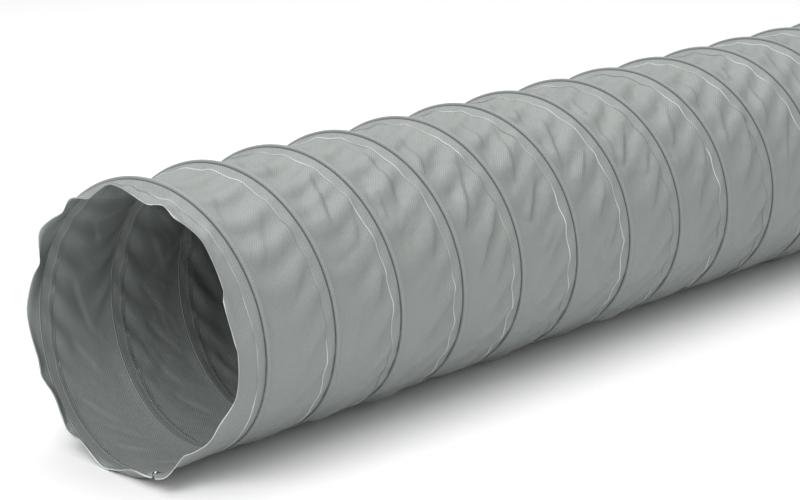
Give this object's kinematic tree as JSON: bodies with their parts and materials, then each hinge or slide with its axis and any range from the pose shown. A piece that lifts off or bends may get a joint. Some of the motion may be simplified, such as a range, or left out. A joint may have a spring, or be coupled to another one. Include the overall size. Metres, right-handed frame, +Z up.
{
  "type": "ventilation hose",
  "caption": "Round grey coated-fabric ventilation hose, held open by a spring wire helix sewn into its lapped seam, cut straight at both ends.",
  "frame": {"origin": "middle of the hose's footprint, on the surface that it lies on", "axes": "+X along the hose from the end where the wire starts to the far end, +Z up"},
  "size_m": [2.5, 0.3076, 0.3076],
  "materials": {
    "coated_fabric": "semi-matte coated weave",
    "spring_steel": "drawn wire",
    "lap_fabric": "semi-matte coated weave, sewn"
  },
  "bodies": {
    "root": {"fabric_wall": "coated_fabric", "spring_wire": "spring_steel", "seam_lap": "lap_fabric"}
  },
  "joints": []
}
